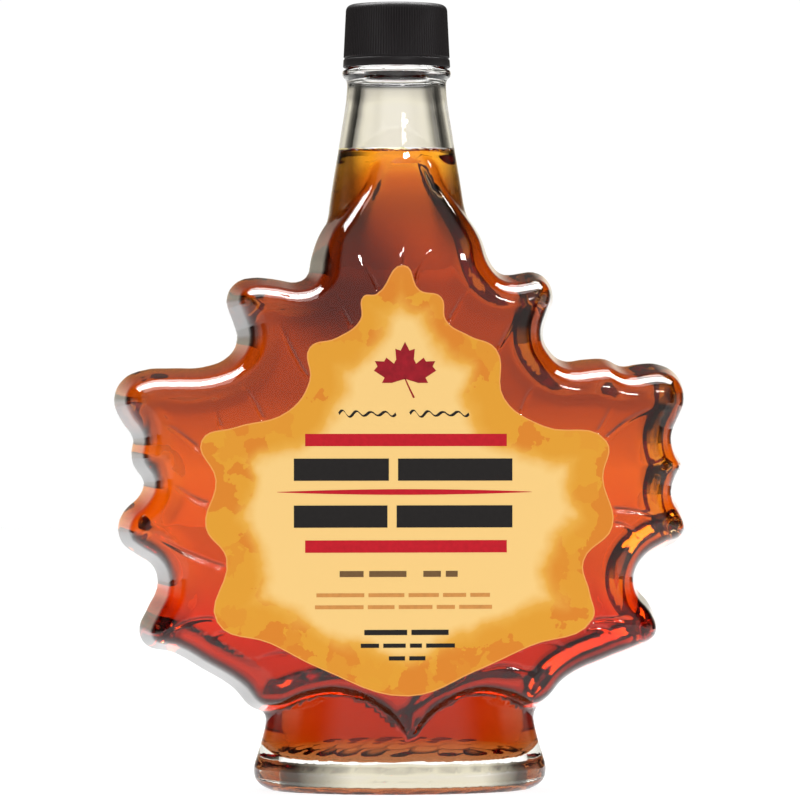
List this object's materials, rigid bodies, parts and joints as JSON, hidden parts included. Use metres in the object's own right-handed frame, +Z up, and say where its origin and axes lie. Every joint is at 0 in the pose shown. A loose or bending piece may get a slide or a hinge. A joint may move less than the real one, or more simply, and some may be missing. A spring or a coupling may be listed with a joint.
{
  "type": "whisky bottle",
  "caption": "Sealed clear glass bottle shaped like a broad leaf on an oval foot, filled with amber drink, with a ribbed black screw cap and a golden front label.",
  "frame": {"origin": "middle of the oval foot's flat underside", "axes": "+Z up along the neck, -Y towards the label, +X to the right seen from the label's side"},
  "size_m": [0.1651, 0.0572, 0.2268],
  "materials": {
    "clear_glass": "polished clear glass with a faint warm grey tint",
    "amber_drink": "clear amber drink, golden where thin and deep red where thick",
    "black_plastic": "satin black moulded plastic with fine upright ribs",
    "label_paper": "semi-gloss printed label, cream in the middle and golden at the edge"
  },
  "bodies": {
    "root": {"glass_bottle": "clear_glass", "whisky": "amber_drink", "screw_cap": "black_plastic", "label": "label_paper"}
  },
  "joints": []
}
